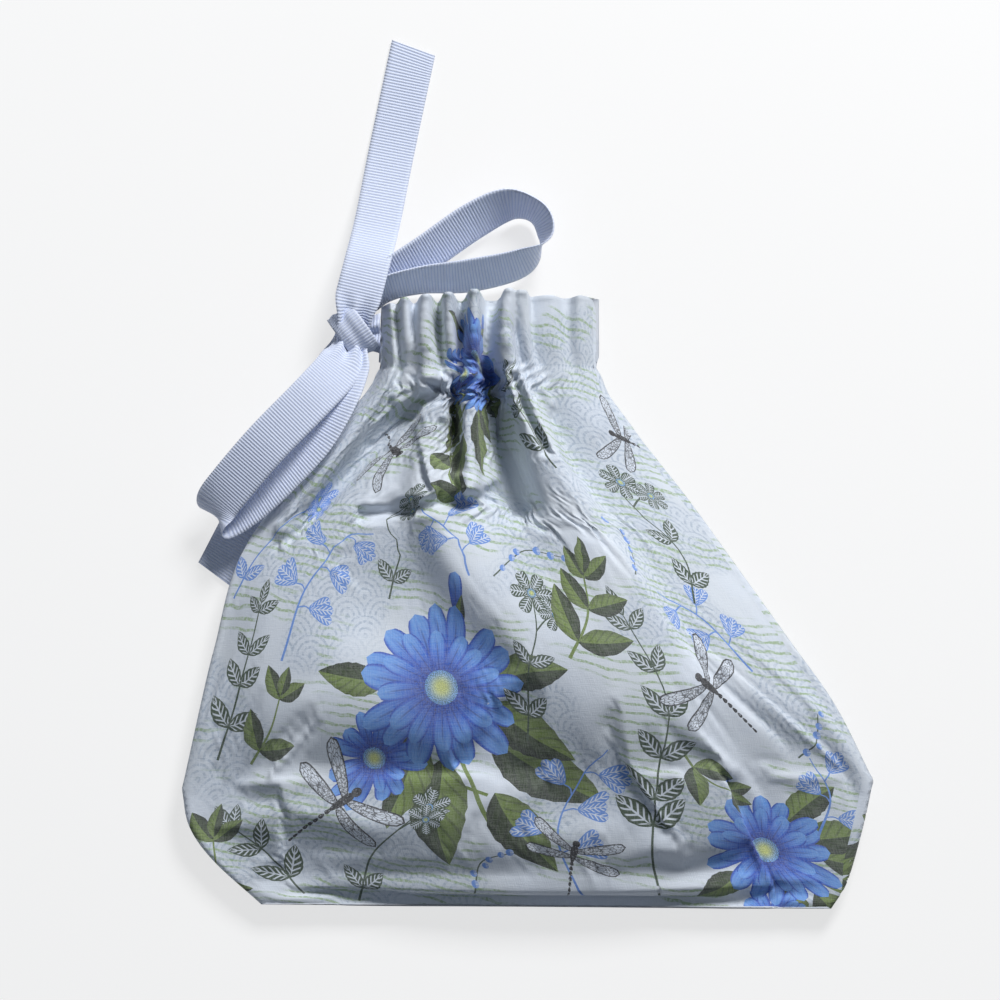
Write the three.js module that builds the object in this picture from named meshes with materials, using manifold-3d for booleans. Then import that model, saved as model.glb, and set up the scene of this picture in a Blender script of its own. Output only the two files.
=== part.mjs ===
// Drawstring pouch lying on its back, mouth towards +Y. Two cotton panels are sewn at the sides and
// at the boxed bottom, their tops are folded down inside to make a casing, and one ribbon runs
// through the casing and is tied in a bow at the left side seam.
// Millimetres, +Z up from the surface it lies on, origin under the middle of the pouch.
import * as THREE from "three";
import { mergeVertices } from "three/addons/utils/BufferGeometryUtils.js";
import Module from "manifold-3d";

const solids = await Module();
solids.setup();

// Pouch
const pouchWidth = 240; // across the box corners
const pouchLength = 213; // bottom fold to mouth edge
const bottomWidth = 198;
const bottomShift = 6.5; // the bottom fold lies this far to the right of the middle
const boxRise = 43; // bottom fold to box corners, the depth of the boxed bottom
const neckWidth = 76;
const neckShift = -13; // the drawn-up neck lies this far to the left of the middle
const leftBulge = 17; // how far each flank curves out from a straight line
const rightBulge = 2.5;
const bodyLoft = 37; // height of the front panel over the surface
const bottomSeamHeight = 6;
const cornerSeamHeight = 9;

// Cloth and casing
const cloth = 0.8;
const seamGap = 0.3;
const casingHeight = 25;
const casingReach = 0.8; // share of the neck's half width that the hem's flat part takes
const mouthSlot = 7.4; // clear way through the drawn-up mouth
const frontPleats = 7;
const frontPleatDepth = 6;
const backPleats = 6;
const backPleatDepth = 2.4;
const pleatStart = 0.25; // share of the flank above which the gathers spread out

// Ribbon
const ribbonWidth = 16;
const ribbonThickness = 0.8;
const ribbonClearance = 0.4;
const knotReach = 10; // knot's middle out from the left side seam
const knotSize = [13, 19, 12];
const turnShare = 0.88; // share of the neck's half width where the ribbon turns back

// Facets
const cornerRows = 4;
const flankRows = 11;
const casingRows = 4;
const frontColumns = 42;
const backColumns = 28;

const cotton = new THREE.MeshStandardMaterial({ color: 0xdfe4ea, roughness: 0.9, metalness: 0 });
const grosgrain = new THREE.MeshStandardMaterial({ color: 0xcfdcf2, roughness: 0.7, metalness: 0 });

// Heights above or below the side seam at the neck, from the slot outwards
const slotHalf = mouthSlot / 2;
const casingDepth = cloth + 2 * ribbonClearance + ribbonThickness;
const neckSeamHeight = slotHalf + casingDepth + cloth + backPleatDepth + seamGap / 2;
const exitHalf = ribbonThickness + 2 * ribbonClearance;

const lerp = THREE.MathUtils.lerp;
const smooth = (t) => THREE.MathUtils.smootherstep(t, 0, 1);

// One side of the outline, from the bottom fold up to the mouth edge
function sideLine(side, bulge) {
  const bottom = new THREE.Vector2(bottomShift + (side * bottomWidth) / 2, -pouchLength / 2);
  const corner = new THREE.Vector2((side * pouchWidth) / 2, boxRise - pouchLength / 2);
  const foot = new THREE.Vector2(neckShift + (side * neckWidth) / 2, pouchLength / 2 - casingHeight);
  const mouth = new THREE.Vector2(foot.x, pouchLength / 2);
  const below = new THREE.Vector2(lerp(bottom.x, corner.x, 0.85), lerp(bottom.y, corner.y, 0.35));
  const out = new THREE.Vector2(foot.y - corner.y, corner.x - foot.x).normalize();
  const flank = corner.clone().lerp(foot, 0.5).addScaledVector(out, 2 * side * bulge);
  const stretches = [
    new THREE.QuadraticBezierCurve(bottom, below, corner).getSpacedPoints(cornerRows),
    new THREE.QuadraticBezierCurve(corner, flank, foot).getSpacedPoints(flankRows),
    new THREE.LineCurve(foot, mouth).getSpacedPoints(casingRows),
  ];
  return stretches.flatMap((points, i) => points.slice(i ? 1 : 0));
}

const leftLine = sideLine(-1, leftBulge);
const rightLine = sideLine(1, rightBulge);
const lastRow = leftLine.length - 1;
const stitchRow = cornerRows + flankRows;

// What changes from row to row, from the bottom fold at row 0 to the mouth edge
function rowShape(row) {
  const corner = Math.min(row / cornerRows, 1);
  const flank = THREE.MathUtils.clamp((row - cornerRows) / flankRows, 0, 1);
  const seam = row < cornerRows
    ? lerp(bottomSeamHeight, cornerSeamHeight, corner)
    : lerp(cornerSeamHeight, neckSeamHeight, smooth(flank));
  const bodyRise = (bodyLoft - cornerSeamHeight - cloth) * (1 - (1 - corner) ** 2.2);
  const backRise = seam - cloth - seamGap / 2;
  return {
    seam,
    bodyRise,
    backRise,
    neck: smooth(flank),
    gather: THREE.MathUtils.smoothstep(flank, pleatStart, 1) ** 1.5,
    roundness: lerp(2.4, 5, smooth(flank)),
    exit: row >= stitchRow ? 1 : 0,
  };
}

const rows = leftLine.map((_, row) => rowShape(row));

// Place on the plan at a row, with across from -1 at the left seam to 1 at the right seam
function planPoint(row, across) {
  return leftLine[row].clone().lerp(rightLine[row], (across + 1) / 2);
}

const dome = (row, across) => 1 - Math.abs(across) ** rows[row].roundness;
const flatDome = (row, across) => Math.min(1, 1.35 * dome(row, across));
const crests = (count, across) => (1 - Math.cos(Math.PI * count * (across + 1))) / 2;

// Half height of the mouth slot, and with some of the casing's depth over it
function neckLevel(row, across, depth) {
  const round = dome(row, across);
  return slotHalf * round + depth * Math.min(1, 2 * round);
}

// The ribbon leaves through a slit in the left side seam, so the seam stands open there
function seamHalf(row, across) {
  const open = rows[row].exit * Math.max(0, -across) ** 12;
  return lerp(seamGap / 2, exitHalf, open);
}

function frontInside(row, across) {
  const shape = rows[row];
  const body = shape.bodyRise * dome(row, across);
  const rise = lerp(body, neckLevel(row, across, casingDepth), shape.neck);
  const gathers = frontPleatDepth * shape.gather * crests(frontPleats, across);
  return shape.seam + seamHalf(row, across) + rise + gathers;
}

function backInside(row, across) {
  const shape = rows[row];
  const body = shape.backRise * flatDome(row, across);
  const drop = lerp(body, neckLevel(row, across, casingDepth), shape.neck);
  const gathers = backPleatDepth * shape.gather * crests(backPleats, across);
  return Math.max(cloth, shape.seam - seamHalf(row, across) - drop - gathers);
}

function geometryOf(points, faces) {
  const geometry = new THREE.BufferGeometry().setFromPoints(points);
  geometry.setIndex(faces.flat());
  return geometry;
}

// A loop of section points at each station, joined from station to station and capped at both ends
function loft(sections, capPlane) {
  const count = sections[0].length;
  const faces = [];
  for (let i = 0; i + 1 < sections.length; i++) {
    for (let j = 0; j < count; j++) {
      const a = i * count + j;
      const b = i * count + ((j + 1) % count);
      faces.push([a, b, b + count], [a, b + count, a + count]);
    }
  }
  const last = (sections.length - 1) * count;
  const flat = sections[0].map(capPlane);
  const turn = THREE.ShapeUtils.isClockWise(flat) ? 1 : -1;
  for (const [a, b, c] of THREE.ShapeUtils.triangulateShape(flat, [])) {
    const first = turn > 0 ? [a, c, b] : [a, b, c];
    faces.push([first[0], first[2], first[1]], first.map((k) => last + k));
  }
  return geometryOf(sections.flat(), faces);
}

function solidOf(geometry) {
  const clean = geometry.clone();
  clean.deleteAttribute("normal");
  clean.deleteAttribute("uv");
  const merged = mergeVertices(clean, 1e-4);
  const build = (flip) => {
    const index = Uint32Array.from(merged.index.array);
    for (let i = 0; flip && i < index.length; i += 3) {
      [index[i + 1], index[i + 2]] = [index[i + 2], index[i + 1]];
    }
    const vertProperties = new Float32Array(merged.attributes.position.array);
    return new solids.Manifold(new solids.Mesh({ numProp: 3, vertProperties, triVerts: index }));
  };
  const solid = build(false);
  return solid.volume() > 0 ? solid : build(true);
}

function meshOf(name, solid, material) {
  const mesh = solid.getMesh();
  const geometry = new THREE.BufferGeometry();
  geometry.setAttribute("position", new THREE.BufferAttribute(mesh.vertProperties, 3));
  geometry.setIndex(new THREE.BufferAttribute(mesh.triVerts, 1));
  geometry.computeVertexNormals();
  const made = new THREE.Mesh(geometry, material);
  made.name = name;
  return made;
}

const sideways = (p) => new THREE.Vector2(p.y, p.z);

// A panel's single layer from the bottom fold to the mouth edge, side seam to side seam
function panelLayer(columns, inside, outward) {
  const sections = [];
  for (let i = 0; i <= columns; i++) {
    const across = (2 * i) / columns - 1;
    const inner = rows.map((_, row) => {
      const at = planPoint(row, across);
      return new THREE.Vector3(at.x, at.y, inside(row, across));
    });
    const outer = inner.map((p) => p.clone().setZ(p.z + outward * cloth)).reverse();
    sections.push([...inner, ...outer]);
  }
  return loft(sections, sideways);
}

// The hem folded down inside, joined to the layer at the mouth edge and along the casing stitches
function casingHem(columns, inside, outward) {
  const sections = [];
  for (let i = 0; i <= columns; i++) {
    const across = casingReach * ((2 * i) / columns - 1);
    const top = planPoint(lastRow, across);
    const foot = planPoint(stitchRow, across);
    const hem = rows[lastRow].seam + outward * slotHalf * dome(lastRow, across);
    const topJoin = inside(lastRow, across) + outward * cloth * 0.5;
    const footJoin = inside(stitchRow, across) + outward * cloth * 0.5;
    const place = (end, step, z) => new THREE.Vector3(end.x, end.y + step, z);
    sections.push([
      place(top, 0, topJoin),
      place(top, 0, hem),
      place(foot, 0, hem),
      place(foot, 0, footJoin),
      place(foot, cloth, footJoin),
      place(foot, cloth, hem + outward * cloth),
      place(top, -cloth, hem + outward * cloth),
      place(top, -cloth, topJoin),
    ]);
  }
  return loft(sections, sideways);
}

function panel(name, columns, inside, outward) {
  const layer = solidOf(panelLayer(columns, inside, outward));
  const hem = solidOf(casingHem(Math.round(columns * casingReach), inside, outward));
  return meshOf(name, layer.add(hem), cotton);
}

// A flat strip along a route. Each stop is a place and the way the width runs there.
function strip(stops, steps) {
  const line = (list) => new THREE.CatmullRomCurve3(list, false, "centripetal");
  const route = line(stops.map(([at]) => at));
  const ways = line(stops.map(([, way]) => way));
  const sections = [];
  for (let i = 0; i <= steps; i++) {
    const at = route.getPoint(i / steps);
    const along = route.getTangent(i / steps);
    const wide = ways.getPoint(i / steps);
    wide.addScaledVector(along, -wide.dot(along)).setLength(ribbonWidth / 2);
    const thick = along.clone().cross(wide).setLength(ribbonThickness / 2);
    const corner = (a, b) => at.clone().addScaledVector(wide, a).addScaledVector(thick, b);
    sections.push([corner(-1, -1), corner(1, -1), corner(1, 1), corner(-1, 1)]);
  }
  const [base, across, , up] = sections[0];
  const u = across.clone().sub(base);
  const v = up.clone().sub(base);
  return solidOf(loft(sections, (p) => new THREE.Vector2(p.dot(u), p.dot(v))));
}

// The ribbon's run in the casing: in at the left slit, round the right side seam and back out
const casingMiddle = pouchLength / 2 - casingHeight / 2;
const leftSeam = neckShift - neckWidth / 2;
const ribbonDepth = cloth + ribbonClearance + ribbonThickness / 2;
const ribbonLeast = ribbonThickness / 2 + ribbonClearance;

function casingStop(share, side) {
  const x = neckShift + (share * neckWidth) / 2;
  const level = Math.max(ribbonLeast, neckLevel(lastRow, share, ribbonDepth));
  const at = new THREE.Vector3(x, casingMiddle, neckSeamHeight + side * level);
  return [at, new THREE.Vector3(0, 1, 0)];
}

function casingRun() {
  const shares = [-0.98, -0.94, -0.88, -0.8, -0.65, -0.4, 0, 0.4, 0.65, turnShare];
  const turn = casingStop(turnShare, 1);
  turn[0].set(turn[0].x + 1.5, casingMiddle, neckSeamHeight);
  const out = shares.map((share) => casingStop(share, 1));
  const home = shares.map((share) => casingStop(share, -1)).reverse();
  return strip([...out, turn, ...home], 70);
}

// The bow. Places are out from the knot's middle, with heights over the surface.
const knot = new THREE.Vector3(leftSeam - knotReach, casingMiddle, neckSeamHeight + 1);

function bowStop([x, y, z, ...way]) {
  return [new THREE.Vector3(knot.x + x, knot.y + y, z), new THREE.Vector3(...way)];
}

const upperTail = [
  [0, 0, 11.5, 1, 0, 0],
  [1.6, 10, 16.2, 1, -0.1, 0],
  [5, 24, 14.4, 1, -0.12, 0],
  [8.6, 40, 6.6, 1, -0.15, 0],
  [13.5, 66, 1.3, 1, -0.17, 0],
  [21, 102, 0.7, 1, -0.2, 0],
];
const rightLoop = [
  [0, 1, 8.6, -0.5, 0.1, 0.8],
  [3.5, 12, 7.6, -0.6, 0.3, 0.75],
  [12.5, 20, 7.6, -0.5, 0.45, 0.75],
  [26.5, 29, 7.8, -0.5, 0.55, 0.7],
  [42.5, 40, 8.2, -0.45, 0.6, 0.7],
  [55, 45.5, 8.6, -0.2, 0.55, 0.8],
  [65, 42, 9, 0.25, 0.3, 0.92],
  [67, 33, 9, 0.3, 0.25, 0.92],
  [59, 25, 8.6, -0.1, 0.5, 0.85],
  [41, 20.5, 8.2, -0.15, 0.6, 0.78],
  [23.5, 18.8, 8.2, -0.15, 0.45, 0.85],
  [9.5, 15.8, 8, -0.4, 0.3, 0.85],
  [2, 8, 8, -0.6, 0.1, 0.8],
  [0, -2, 8.6, -0.5, 0, 0.85],
];
const leftLoop = [
  [0, -2, 12.5, 0.85, -0.4, 0.2],
  [-4, -12, 18.5, 0.75, -0.65, 0],
  [-14, -24, 24, 0.71, -0.71, 0],
  [-29, -39.5, 24.5, 0.705, -0.71, 0],
  [-41, -53, 20.5, 0.7, -0.71, 0],
  [-47.3, -61, 15.5, 0.7, -0.7, 0.1],
  [-45.8, -65, 11.6, 0.7, -0.7, 0.2],
  [-36.5, -60, 12.8, 0.66, -0.66, 0.35],
  [-25, -50.5, 16.4, 0.63, -0.63, 0.45],
  [-12.5, -37, 19.6, 0.63, -0.63, 0.45],
  [-4.4, -21.5, 19, 0.7, -0.6, 0.4],
  [-0.5, -6, 12.5, 0.85, -0.4, 0.3],
];
const lowerTail = [
  [-1, -2, 8.4, 0.75, -0.6, 0],
  [-6.5, -14, 3.4, 0.8, -0.6, 0],
  [-15.5, -30, 1.8, 0.77, -0.64, 0],
  [-34, -59, 0.9, 0.8, -0.6, 0],
  [-47.5, -84.3, 0.8, 0.77, -0.64, 0],
];

function bow() {
  const ball = new THREE.SphereGeometry(0.5, 20, 12).scale(...knotSize);
  let solid = solidOf(ball.translate(knot.x, knot.y, knot.z));
  for (const side of [1, -1]) {
    const [at, way] = casingStop(-1, side);
    const start = at.clone().setX(leftSeam - seamGap);
    const end = new THREE.Vector3(knot.x, casingMiddle, at.z);
    solid = solid.add(strip([[start, way], [end, way]], 3));
  }
  for (const [route, steps] of [[upperTail, 24], [rightLoop, 48], [leftLoop, 48], [lowerTail, 24]]) {
    solid = solid.add(strip(route.map(bowStop), steps));
  }
  // Small gaps shut in between the crossing strands are filled
  const bodies = solid.simplify(0.02).decompose();
  return bodies.sort((a, b) => b.volume() - a.volume())[0];
}

const pouch = new THREE.Group();
pouch.name = "drawstring_pouch";
pouch.add(
  panel("front_panel", frontColumns, frontInside, 1),
  panel("back_panel", backColumns, backInside, -1),
  meshOf("ribbon_in_casing", casingRun(), grosgrain),
  meshOf("ribbon_bow", bow(), grosgrain),
);

export default pouch;
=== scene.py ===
import math
import random

import bpy
import numpy as np
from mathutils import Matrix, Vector, kdtree
from mathutils.geometry import delaunay_2d_cdt


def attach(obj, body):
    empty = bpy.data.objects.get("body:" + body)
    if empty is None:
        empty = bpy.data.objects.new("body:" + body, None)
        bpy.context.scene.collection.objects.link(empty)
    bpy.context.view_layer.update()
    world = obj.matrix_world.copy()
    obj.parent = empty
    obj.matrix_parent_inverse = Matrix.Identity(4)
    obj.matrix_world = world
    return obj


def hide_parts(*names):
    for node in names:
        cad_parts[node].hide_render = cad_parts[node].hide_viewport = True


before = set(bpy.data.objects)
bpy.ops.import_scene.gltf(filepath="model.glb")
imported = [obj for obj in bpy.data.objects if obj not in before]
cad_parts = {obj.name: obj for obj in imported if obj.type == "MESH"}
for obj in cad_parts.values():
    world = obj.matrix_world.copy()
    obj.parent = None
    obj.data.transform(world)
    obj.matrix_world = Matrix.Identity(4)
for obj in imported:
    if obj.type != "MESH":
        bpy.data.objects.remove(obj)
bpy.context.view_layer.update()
mm = 0.001
bpy.ops.object.select_all(action="DESELECT")


def smoothStep(t):
    t = np.clip(t, 0, 1)
    return t * t * t * (t * (6 * t - 15) + 10)


def unit(vectors):
    return vectors / np.maximum(np.linalg.norm(vectors, axis=-1, keepdims=True), 1e-9)


def lengthsAlong(points):
    steps = np.linalg.norm(np.diff(points[:, :3], axis=0), axis=1)
    return np.concatenate([[0], np.cumsum(steps)])


def curveThrough(points, count):  # smooth line through the points, cut into equal steps
    p = np.array(points, float)
    p = np.vstack([2 * p[0] - p[1], p, 2 * p[-1] - p[-2]])
    stepsBetween = 24
    t = np.linspace(0, 1, stepsBetween, endpoint=False)[:, None]
    parts = []
    for a, b, c, d in zip(p[:-3], p[1:-2], p[2:-1], p[3:]):
        curve = 2 * b + (c - a) * t + (2 * a - 5 * b + 4 * c - d) * t**2 + (3 * b - a - 3 * c + d) * t**3
        parts.append(0.5 * curve)
    line = np.vstack(parts + [p[-2:-1]])
    along = lengthsAlong(line)
    at = np.linspace(0, along[-1], count + 1)
    return np.stack([np.interp(at, along, line[:, k]) for k in range(line.shape[1])], axis=1)


def setAll(target, values):
    for name, value in values.items():
        setattr(target, name, value)


def addMesh(name, points, faces):  # points in mm
    mesh = bpy.data.meshes.new(name)
    mesh.from_pydata((np.asarray(points) * mm).tolist(), [], [list(map(int, f)) for f in faces])
    piece = bpy.data.objects.new(name, mesh)
    bpy.context.collection.objects.link(piece)
    mesh.shade_smooth()
    return piece


def addUv(piece, name, perVertex=None, perLoop=None):
    mesh = piece.data
    layer = mesh.uv_layers.new(name=name)
    if perLoop is None:
        corners = np.zeros(len(mesh.loops), np.int32)
        mesh.loops.foreach_get("vertex_index", corners)
        perLoop = np.asarray(perVertex)[corners]
    layer.data.foreach_set("uv", np.asarray(perLoop, np.float32).ravel())


# Camera, looking almost straight down
shot = {
    "aim": (-9.6, 35.4, 12),
    "distance": 2400,
    "span": 348,  # mm across the picture at the aim
    "elevation": 85,
    "sensor": 36,
}


def addCamera():
    bpy.ops.object.camera_add()
    camera = bpy.context.object
    camera.name = "pouchCamera"
    tilt = math.radians(shot["elevation"])
    back = Vector((0, -math.cos(tilt), math.sin(tilt)))
    camera.location = (Vector(shot["aim"]) + back * shot["distance"]) * mm
    camera.rotation_euler = (-back).to_track_quat("-Z", "Y").to_euler()
    camera.data.sensor_width = shot["sensor"]
    camera.data.lens = shot["sensor"] * shot["distance"] / shot["span"]
    bpy.context.scene.camera = camera


addCamera()
print("camera placed")


# Ribbon
ribbon = {
    "width": 16,
    "thickness": 0.5,
    "ribPitch": 1.04,
    "ribDepth": 0.1,
    "stepsPerRib": 4,
    "columns": 11,
    "knot": (-61, 94, 10.5),
    "pinch": 0.72,  # share of the width left inside the knot
    "pinchStart": 4,  # from the middle of the knot
    "pinchReach": 11,
    "cutSlant": 1.2,
    "slantReach": 14,
    "pleat": 0.16,
    "pleatWaves": 2.2,  # across the width
    "plainEdge": 0.9,  # share of the half width that carries full ribs
    "edgeRib": 0.2,  # share of a rib's depth left on the plain edge
    "edgeFinish": (6.9, 7.4),
    "roughSteps": 400,
    "pathStride": 8,
    "casingSteps": 240,
}

# places out from the knot with heights over the table, then the way the width runs
rightLoop = [
    (9.7, 0, 10.6, 0, 1, 0.1),
    (4, 0, 9.6, 0, 0.9, 0.4),
    (0.5, 3, 8.6, -0.5, 0.3, 0.8),
    (3.5, 12, 7.8, -0.6, 0.3, 0.75),
    (12.5, 20, 7.8, -0.5, 0.45, 0.75),
    (26.5, 29, 8.0, -0.5, 0.55, 0.7),
    (42.5, 40, 8.4, -0.45, 0.6, 0.7),
    (55, 45.5, 8.8, -0.2, 0.55, 0.8),
    (65, 42, 9, 0.25, 0.3, 0.92),
    (67, 33, 9, 0.3, 0.25, 0.92),
    (59, 25, 8.8, -0.1, 0.5, 0.85),
    (41, 20.5, 8.4, -0.15, 0.6, 0.78),
    (23.5, 18.8, 8.4, -0.15, 0.45, 0.85),
    (9.5, 14.8, 8.2, -0.4, 0.3, 0.85),
    (2, 7, 8.2, -0.6, 0.1, 0.8),
    (-0.5, -2, 9.4, -0.8, 0, 0.6),
]
upperTail = [
    (0, 0, 12.5, 1, 0, -0.2),
    (1.6, 10, 16.4, 1, -0.1, 0),
    (5, 24, 14.6, 1, -0.12, 0),
    (8.6, 40, 6.8, 1, -0.15, 0),
    (13.5, 66, 1.3, 1, -0.17, 0),
    (21, 102, 0.7, 1, -0.2, 0),
]
leftLoop = [
    (9.7, 0, 8.2, 0, 1, 0.1),
    (4, -0.5, 8.6, 0.3, 0.9, 0.2),
    (0, -2, 12.5, 0.85, -0.4, 0.2),
    (-4, -12, 18.5, 0.75, -0.65, 0),
    (-14, -24, 24, 0.71, -0.71, 0),
    (-29, -39.5, 24.5, 0.705, -0.71, 0),
    (-41, -53, 20.5, 0.7, -0.71, 0),
    (-47.3, -61, 15.5, 0.7, -0.7, 0.1),
    (-45.8, -65, 11.6, 0.7, -0.7, 0.2),
    (-36.5, -60, 12.8, 0.66, -0.66, 0.35),
    (-25, -50.5, 16.4, 0.63, -0.63, 0.45),
    (-12.5, -37, 19.6, 0.63, -0.63, 0.45),
    (-4.4, -21.5, 19, 0.7, -0.6, 0.4),
    (-0.5, -6, 12.5, 0.85, -0.4, 0.3),
]
lowerTail = [
    (-1, -2, 8.4, 0.75, -0.6, 0),
    (-6.5, -14, 3.4, 0.8, -0.6, 0),
    (-15.5, -30, 1.8, 0.77, -0.64, 0),
    (-34, -59, 0.9, 0.8, -0.6, 0),
    (-47.5, -84.3, 0.8, 0.77, -0.64, 0),
]
knotBand = {
    "radii": (8.8, 6.8),
    "across": (0.58, -0.81),
    "width": 10.5,
    "lean": 0.3,
    "pleat": 0.025,
    "steps": 160,
    "swell": (0.9, 0.12),  # share of the width, and how much it changes round the turn
}


def fromKnot(stops):
    out = np.array(stops, float)
    out[:, :2] += ribbon["knot"][:2]
    for i in range(1, len(out)):  # the width keeps the same hand from stop to stop
        if out[i, 3:] @ out[i - 1, 3:] < 0:
            out[i, 3:] *= -1
    return out


def ribbonSections(line, pinch, slant, pleating):
    # a thin band with a rounded rib across it at every pitch and plain edges
    at = line[:, :3]
    along = lengthsAlong(at)
    way = unit(np.gradient(at, axis=0))
    wide = unit(line[:, 3:] - way * (line[:, 3:] * way).sum(1, keepdims=True))
    up = np.cross(way, wide)
    across = np.linspace(-1, 1, ribbon["columns"])
    half = pinch * ribbon["width"] / 2
    gathered = np.sqrt(np.maximum(1 - pinch**2, 0))
    waves = np.cos(math.pi * ribbon["pleatWaves"] * across)
    pleat = pleating * ribbon["width"] * gathered[:, None] * waves[None]
    rib = 0.5 + 0.5 * np.cos(math.tau * along / ribbon["ribPitch"])
    plain = np.abs(across) > ribbon["plainEdge"]
    depth = np.where(plain[None], ribbon["edgeRib"], 1) * rib[:, None] * ribbon["ribDepth"]
    body = ribbon["thickness"] / 2 - depth
    cut = slant * smoothStep((along - along[-1] + ribbon["slantReach"]) / ribbon["slantReach"])
    sides = []
    for face in (1, -1):
        ups = pleat + face * body
        rows = at[:, None] + wide[:, None] * (half[:, None] * across)[..., None]
        rows = rows + up[:, None] * ups[..., None]
        rows = rows + way[:, None] * (cut[:, None] * across)[..., None]
        sides.append(rows if face > 0 else rows[:, ::-1])
    uv = np.stack(np.broadcast_arrays(along[:, None], across * ribbon["width"] / 2), axis=-1)
    return np.concatenate(sides, axis=1), np.concatenate([uv, uv[:, ::-1]], axis=1)


def ribbonMesh(name, line, pinch, slant=0, ring=False, pleating=ribbon["pleat"]):
    sections, uv = ribbonSections(line, pinch, slant, pleating)
    count, around = sections.shape[:2]
    index = np.arange(count * around).reshape(count, around)
    nextIndex = np.roll(index, -1, axis=1)
    last = count if ring else count - 1
    a = index[np.arange(last)]
    b = nextIndex[np.arange(last)]
    c = nextIndex[(np.arange(last) + 1) % count]
    d = index[(np.arange(last) + 1) % count]
    faces = np.stack([a, d, c, b], axis=-1).reshape(-1, 4).tolist()
    if not ring:
        faces += [index[0].tolist(), index[-1][::-1].tolist()]
    piece = addMesh(name, sections.reshape(-1, 3), faces)
    addUv(piece, "ribbonUv", perVertex=uv.reshape(-1, 2))
    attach(piece, "root")
    return piece


def ribbonCord(name, stops, slant):
    stops = fromKnot(stops)
    length = lengthsAlong(curveThrough(stops, ribbon["roughSteps"]))[-1]
    steps = int(length / ribbon["ribPitch"] * ribbon["stepsPerRib"])
    line = curveThrough(stops, steps)
    out = np.linalg.norm(line[:, :3] - np.array(ribbon["knot"]), axis=1)
    opening = smoothStep((out - ribbon["pinchStart"]) / ribbon["pinchReach"])
    pinch = ribbon["pinch"] + (1 - ribbon["pinch"]) * opening
    piece = ribbonMesh(name, line, pinch, slant)
    return piece, line[::ribbon["pathStride"], :3] * mm, length * mm


def tieKnot():
    # the turn of ribbon drawn tight over the crossing
    reach = unit(np.array((*knotBand["across"], 0)))
    axis = np.array((-reach[1], reach[0], knotBand["lean"]))
    a, b = knotBand["radii"]
    turn = np.linspace(0, math.tau, knotBand["steps"] + 1)[:-1]
    middle = np.array(ribbon["knot"])
    ring = middle + np.outer(a * np.cos(turn), reach) + np.outer(b * np.sin(turn), (0, 0, 1))
    line = np.concatenate([ring, np.broadcast_to(axis, ring.shape)], axis=1)
    even, change = knotBand["swell"]
    pinch = (knotBand["width"] / ribbon["width"]) * (even + change * np.sin(turn))
    return ribbonMesh("ribbonKnot", line, pinch, ring=True, pleating=knotBand["pleat"])


upperRibbon, upperPath, upperLength = ribbonCord("ribbonUpper", rightLoop + upperTail, ribbon["cutSlant"])
lowerRibbon, lowerPath, lowerLength = ribbonCord("ribbonLower", leftLoop + lowerTail, -ribbon["cutSlant"])
knotPiece = tieKnot()
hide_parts("ribbon_bow")
print("ribbon tied, %.3f m and %.3f m outside the casing" % (upperLength, lowerLength))


# Pouch: outlines in mm on the table, from the bottom fold up to the mouth edge
pouch = {
    "leftLine": [(-92.4, -105), (-109, -90), (-117.5, -78), (-120, -65), (-113, -32.7), (-108.8, -15.3),
                 (-100, 16), (-79, 46), (-58, 71), (-51.5, 82), (-50.5, 103.5)],
    "rightLine": [(105.3, -106.5), (111, -97), (116.5, -78), (120, -62), (107, -36), (91.4, -13.6),
                  (74, 10.8), (56.6, 35.1), (39, 57.8), (29, 72), (24.5, 82), (24.5, 106)],
    "leftKnots": (3, 9),
    "rightKnots": (3, 10),
    "zoneRows": (17, 55, 9),  # box corner, flank, casing
    "columns": 130,
    "profileSteps": 900,
    "seamHeights": (6, 9, 9.5),
    "bodyRise": 25,
    "cornerRound": 2.2,
    "neckRise": 6.5,
    "neckDrop": 3.4,
    "archPower": (2.3, 5),  # how square the arch across a row is, at the body and at the neck
    "edgeFade": 6,  # folds die out over a sixth of the half width
    "stitchPinch": (0.22, 2.0),  # share of a fold taken up at the stitch line, and rows it reaches
    "tableClear": 5,  # lowest the front dips over the table
    "backClear": 0.6,
    "backFill": 1.5,  # how soon the back drops away from the side seams
    "frill": 2.4,  # how far a full gather stands out past the mouth edge
    "fullGather": 14,
    "flatWidths": (202, 250, 208),
    "flatLengths": (53, 159, 25),
    "hemRows": 6,
    "hemGap": 2.2,  # room for the ribbon between the casing and its hem
    "hemPuff": 0.2,
    "hemTuck": (0.8, 1.5),  # how soon the hem leaves the casing, and how sharply
    "seamShift": 2.2,  # the right side seam rolls this many columns to the front
    "seamStart": 8,  # over the first rows
    "thickness": 0.5,
}
backGathers = {
    "waves": 5.5,
    "uneven": (0.13, 5),  # share of a wave, and how often it comes
    "depth": 4.5,
    "depthChange": (1.1, 9),
    "neckPower": 1.5,
    "frillShare": 0.5,
}
foldFullness = {"narrow": 4.4, "perReach": 0.28, "limits": (2.2, 3.6)}  # narrow folds are fuller

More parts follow.
